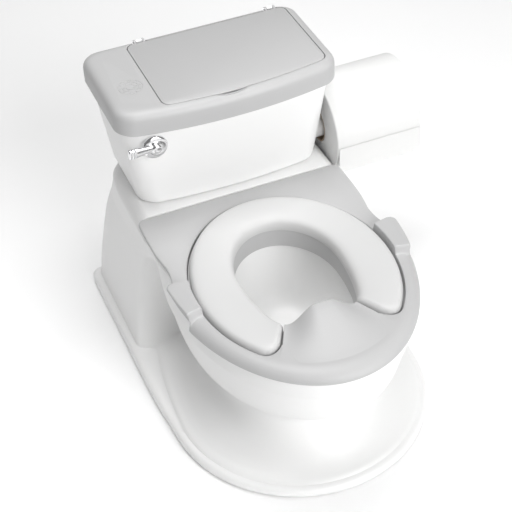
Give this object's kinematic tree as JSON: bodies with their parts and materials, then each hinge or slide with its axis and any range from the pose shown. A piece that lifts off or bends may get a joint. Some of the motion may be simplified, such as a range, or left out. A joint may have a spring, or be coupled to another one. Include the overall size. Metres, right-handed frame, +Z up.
{
  "type": "potty training chair",
  "caption": "Toilet-shaped potty chair for toddlers with padded lift-off seat, lift-out pot, tank with wipes flap, flush lever and paper roll holder.",
  "frame": {"origin": "on the floor under the middle foot, on the chair's plane of symmetry", "axes": "+Z up, +Y from the bowl to the tank, +X to the right of someone who faces the front of the chair, so the paper roll is on +X"},
  "size_m": [0.3613, 0.4264, 0.3075],
  "materials": {
    "white_plastic": "satin white moulded polypropylene",
    "grey_plastic": "fine matt grey moulded polypropylene",
    "cushion_skin": "soft light grey foam with a smooth skin",
    "rubber": "matt rubber",
    "chrome": "bright chrome plating",
    "steel": "zinc plated steel",
    "dark_plastic": "black moulded plastic",
    "board": "green solder mask",
    "battery_jacket": "dark shrink wrap on a steel can",
    "paper": "soft embossed tissue",
    "cardboard": "brown wound cardboard"
  },
  "bodies": {
    "chair": {"base_shell": "white_plastic", "base_plate": "white_plastic", "plate_screw_1": "steel", "plate_screw_2": "steel", "plate_screw_3": "steel", "plate_screw_4": "steel", "foot_1": "rubber", "foot_2": "rubber", "foot_3": "rubber", "foot_4": "rubber", "foot_5": "rubber", "seat_deck": "grey_plastic", "deck_screw_1": "steel", "deck_screw_2": "steel", "deck_screw_3": "steel", "deck_screw_4": "steel", "tank_body": "white_plastic", "tank_screw_1": "steel", "tank_screw_2": "steel", "tank_screw_3": "steel", "tank_screw_4": "steel", "tank_lid": "grey_plastic", "wipes_bin": "white_plastic", "hinge_knuckle_1": "white_plastic", "hinge_knuckle_2": "white_plastic", "flush_escutcheon": "chrome", "shaft_nut": "dark_plastic", "flush_spring": "steel", "switch_body": "dark_plastic", "sound_housing": "dark_plastic", "speaker": "dark_plastic", "circuit_board": "board", "board_screw": "steel", "battery_box": "dark_plastic", "battery_1": "battery_jacket", "battery_2": "battery_jacket", "battery_door": "white_plastic", "battery_door_screw": "steel", "roll_spindle": "white_plastic", "spindle_cap": "white_plastic", "spindle_screw": "steel"},
    "seat": {"seat_ring": "grey_plastic", "seat_cushion": "cushion_skin", "grip_pad_1": "rubber", "grip_pad_2": "rubber", "grip_pad_3": "rubber", "grip_pad_4": "rubber"},
    "pot": {"potty_bowl": "white_plastic"},
    "flap": {"wipes_flap": "grey_plastic", "hinge_pin_1": "steel", "hinge_pin_2": "steel"},
    "lever": {"flush_lever": "chrome", "flush_shaft": "steel", "flush_cam": "dark_plastic"},
    "plunger": {"switch_plunger": "white_plastic"},
    "roll": {"roll_core": "cardboard", "paper_roll": "paper", "paper_tail": "paper"}
  },
  "joints": [
    {"name": "seat_lift", "type": "slide", "parent": "chair", "child": "seat", "axis": [0, 0, 1], "range_m": [0, 0.15]},
    {"name": "pot_lift", "type": "slide", "parent": "chair", "child": "pot", "axis": [0, 0, 1], "range_m": [0, 0.09]},
    {"name": "flap_hinge", "type": "hinge", "parent": "chair", "child": "flap", "pos_m": [0.01925, 0.1932, 0.3046], "axis": [-1, 0, 0], "range_deg": [0, 105]},
    {"name": "flush_hinge", "type": "hinge", "parent": "chair", "child": "lever", "pos_m": [-0.0852, 0.06, 0.2625], "axis": [0, -1, 0], "range_deg": [0, 25], "stiffness_Nm_per_rad": 0.03, "springref_deg": -17.19},
    {"name": "switch_travel", "type": "slide", "parent": "chair", "child": "plunger", "axis": [0, 0, -1], "range_m": [0, 0.0045]},
    {"name": "roll_spin", "type": "hinge", "parent": "chair", "child": "roll", "pos_m": [0.16525, 0.1182, 0.1943], "axis": [1, 0, 0], "continuous": true}
  ],
  "couplings": [
    {"joint": "pot_lift", "follows": "seat_lift", "ratio": 0.5},
    {"joint": "switch_travel", "follows": "flush_hinge", "m_per_rad": 0.0092}
  ]
}
